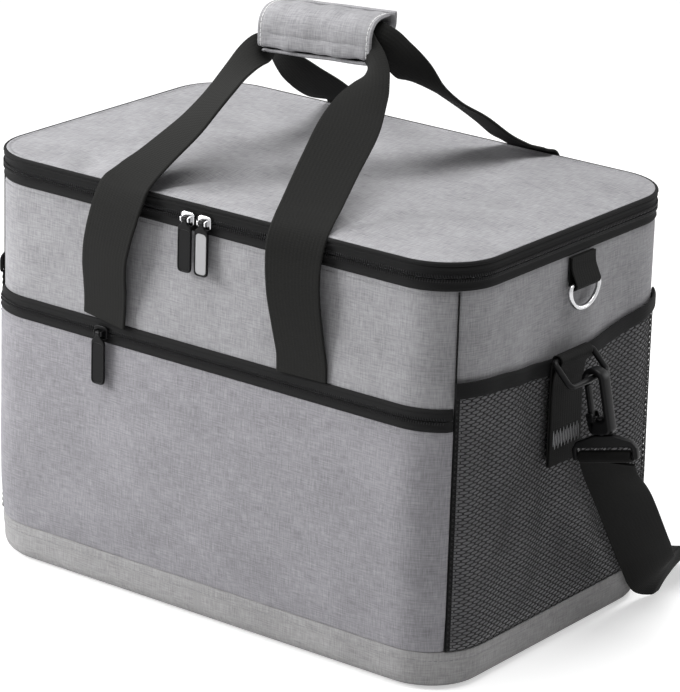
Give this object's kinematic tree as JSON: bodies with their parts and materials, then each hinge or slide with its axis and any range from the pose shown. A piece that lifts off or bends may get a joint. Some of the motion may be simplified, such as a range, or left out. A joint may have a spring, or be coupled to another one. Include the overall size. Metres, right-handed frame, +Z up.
{
  "type": "cooler bag",
  "caption": "Insulated box-shaped cooler bag with a zipped hinged lid, front zip pocket, net side pockets, webbing handles in a wrap grip and a shoulder strap on swivel snap hooks.",
  "frame": {"origin": "middle of the base, on the floor", "axes": "+X to the right of someone facing the front pocket, front at -Y, +Z up"},
  "size_m": [0.517, 0.3249, 0.4075],
  "materials": {
    "heather_cloth": "grey melange oxford cloth",
    "webbing": "ribbed black webbing",
    "zip_tape": "black zip tape and coil",
    "net": "open black knitted net",
    "elastic_binding": "black elastic binding",
    "hook_and_loop": "black hook and loop strip",
    "foam": "white closed-cell foam",
    "stiffener": "black plastic sheet",
    "liner": "silver welded film",
    "chrome_hardware": "bright nickel plate",
    "black_plastic": "satin moulded acetal"
  },
  "bodies": {
    "bag": {"front_panel": "heather_cloth", "back_panel": "heather_cloth", "left_side_panel": "heather_cloth", "right_side_panel": "heather_cloth", "base_tray": "heather_cloth", "base_board": "stiffener", "base_foam": "foam", "wall_foam": "foam", "liner_tub": "liner", "body_zip_tape": "zip_tape", "pocket_panel": "heather_cloth", "pocket_zip_tape_low": "zip_tape", "pocket_zip_tape_high": "zip_tape", "right_net": "net", "right_net_binding": "elastic_binding", "left_net": "net", "left_net_binding": "elastic_binding", "front_handle_tail_left": "webbing", "front_handle_tail_right": "webbing", "rear_handle_tail_left": "webbing", "rear_handle_tail_right": "webbing", "d_ring_tab": "webbing", "right_strap_anchor": "webbing", "left_strap_anchor": "webbing", "shoulder_strap": "webbing"},
    "lid": {"lid_panel": "heather_cloth", "lid_foam": "foam", "lid_liner": "liner", "lid_zip_tape": "zip_tape", "lid_hinge_strip": "heather_cloth"},
    "front_handle": {"front_handle_leg_left": "webbing", "front_handle_leg_right": "webbing"},
    "front_loop": {"front_handle_loop": "webbing", "grip_cover": "heather_cloth", "grip_loop_strip": "hook_and_loop"},
    "rear_handle": {"rear_handle_leg_left": "webbing", "rear_handle_leg_right": "webbing"},
    "rear_loop": {"rear_handle_loop": "webbing"},
    "flap": {"grip_flap": "heather_cloth", "grip_hook_strip": "hook_and_loop"},
    "lid_slider_left": {"lid_slider_left": "chrome_hardware"},
    "lid_puller_left": {"lid_puller_left": "black_plastic"},
    "lid_slider_right": {"lid_slider_right": "chrome_hardware"},
    "lid_puller_right": {"lid_puller_right": "black_plastic"},
    "pocket_slider": {"pocket_slider": "black_plastic"},
    "pocket_puller": {"pocket_puller": "black_plastic"},
    "d_ring": {"d_ring": "chrome_hardware"},
    "right_ring": {"right_strap_ring": "black_plastic"},
    "right_hook": {"right_hook": "black_plastic"},
    "right_swivel": {"right_swivel_frame": "black_plastic"},
    "right_gate": {"right_hook_gate": "black_plastic"},
    "left_ring": {"left_strap_ring": "black_plastic"},
    "left_hook": {"left_hook": "black_plastic"},
    "left_swivel": {"left_swivel_frame": "black_plastic"},
    "left_gate": {"left_hook_gate": "black_plastic"}
  },
  "joints": [
    {"name": "lid_hinge", "type": "hinge", "parent": "bag", "child": "lid", "pos_m": [0, 0.1275, 0.2807], "axis": [-1, 0, 0], "range_deg": [0, 90], "deforming": ["grip_flap", "grip_hook_strip"]},
    {"name": "front_handle_fold", "type": "hinge", "parent": "bag", "child": "front_handle", "pos_m": [0, -0.13005, 0.221], "axis": [1, 0, 0], "range_deg": [0, 148.5]},
    {"name": "front_loop_bend", "type": "hinge", "parent": "front_handle", "child": "front_loop", "pos_m": [0, -0.1425, 0.2945], "axis": [1, 0, 0], "range_deg": [0, 40]},
    {"name": "rear_handle_fold", "type": "hinge", "parent": "bag", "child": "rear_handle", "pos_m": [0, 0.13005, 0.221], "axis": [-1, 0, 0], "range_deg": [0, 148.5]},
    {"name": "rear_loop_bend", "type": "hinge", "parent": "rear_handle", "child": "rear_loop", "pos_m": [0, 0.1425, 0.2945], "axis": [-1, 0, 0], "range_deg": [0, 40]},
    {"name": "flap_hinge", "type": "hinge", "parent": "front_loop", "child": "flap", "pos_m": [0, 0.0009, 0.4077], "axis": [1, 0, 0], "range_deg": [0, 110]},
    {"name": "lid_slider_left_travel", "type": "slide", "parent": "bag", "child": "lid_slider_left", "axis": [1, 0, 0], "range_m": [-0.13, 0]},
    {"name": "lid_slider_right_travel", "type": "slide", "parent": "bag", "child": "lid_slider_right", "axis": [1, 0, 0], "range_m": [0, 0.145]},
    {"name": "pocket_slider_travel", "type": "slide", "parent": "bag", "child": "pocket_slider", "axis": [1, 0, 0], "range_m": [-0.06, 0.23]},
    {"name": "lid_puller_left_swing", "type": "hinge", "parent": "lid_slider_left", "child": "lid_puller_left", "pos_m": [-0.015, -0.1327, 0.2807], "axis": [-1, 0, 0], "range_deg": [0, 150]},
    {"name": "lid_puller_right_swing", "type": "hinge", "parent": "lid_slider_right", "child": "lid_puller_right", "pos_m": [-0.001, -0.1327, 0.2807], "axis": [-1, 0, 0], "range_deg": [0, 150]},
    {"name": "pocket_puller_swing", "type": "hinge", "parent": "pocket_slider", "child": "pocket_puller", "pos_m": [-0.086, -0.1353, 0.1866], "axis": [-1, 0, 0], "range_deg": [0, 150]},
    {"name": "d_ring_swing", "type": "hinge", "parent": "bag", "child": "d_ring", "pos_m": [0.2049, 0.008, 0.253], "axis": [0, -1, 0], "range_deg": [0, 115]},
    {"name": "right_ring_swing", "type": "hinge", "parent": "bag", "child": "right_ring", "pos_m": [0.2096, -0.009, 0.208], "axis": [0, -1, 0], "range_deg": [0, 40], "deforming": ["shoulder_strap"]},
    {"name": "right_hook_swing", "type": "hinge", "parent": "right_ring", "child": "right_hook", "pos_m": [0.22339, -0.002, 0.19421], "axis": [0, -1, 0], "range_deg": [0, 30], "deforming": ["shoulder_strap"]},
    {"name": "right_swivel_turn", "type": "hinge", "parent": "right_hook", "child": "right_swivel", "pos_m": [0.22339, -0.002, 0.19421], "axis": [-0.2164, 0, 0.9763], "range_deg": [0, 75], "deforming": ["shoulder_strap"]},
    {"name": "right_gate_swing", "type": "hinge", "parent": "right_hook", "child": "right_gate", "pos_m": [0.2225, -0.002, 0.16728], "axis": [0, 1, 0], "range_deg": [0, 18], "stiffness_Nm_per_rad": 0.05, "springref_deg": -11.46},
    {"name": "left_ring_swing", "type": "hinge", "parent": "bag", "child": "left_ring", "pos_m": [-0.2096, -0.009, 0.208], "axis": [0, 1, 0], "range_deg": [0, 40], "deforming": ["shoulder_strap"]},
    {"name": "left_hook_swing", "type": "hinge", "parent": "left_ring", "child": "left_hook", "pos_m": [-0.22339, -0.002, 0.19421], "axis": [0, 1, 0], "range_deg": [0, 30], "deforming": ["shoulder_strap"]},
    {"name": "left_swivel_turn", "type": "hinge", "parent": "left_hook", "child": "left_swivel", "pos_m": [-0.22339, -0.002, 0.19421], "axis": [-0.2164, 0, -0.9763], "range_deg": [0, 75], "deforming": ["shoulder_strap"]},
    {"name": "left_gate_swing", "type": "hinge", "parent": "left_hook", "child": "left_gate", "pos_m": [-0.2225, -0.002, 0.16728], "axis": [0, -1, 0], "range_deg": [0, 18], "stiffness_Nm_per_rad": 0.05, "springref_deg": -11.46}
  ],
  "couplings": [
    {"joint": "front_handle_fold", "follows": "lid_hinge", "ratio": 1.65},
    {"joint": "front_loop_bend", "follows": "lid_hinge", "ratio": 0.4444},
    {"joint": "rear_handle_fold", "follows": "lid_hinge", "ratio": 1.65},
    {"joint": "rear_loop_bend", "follows": "lid_hinge", "ratio": 0.4444}
  ]
}
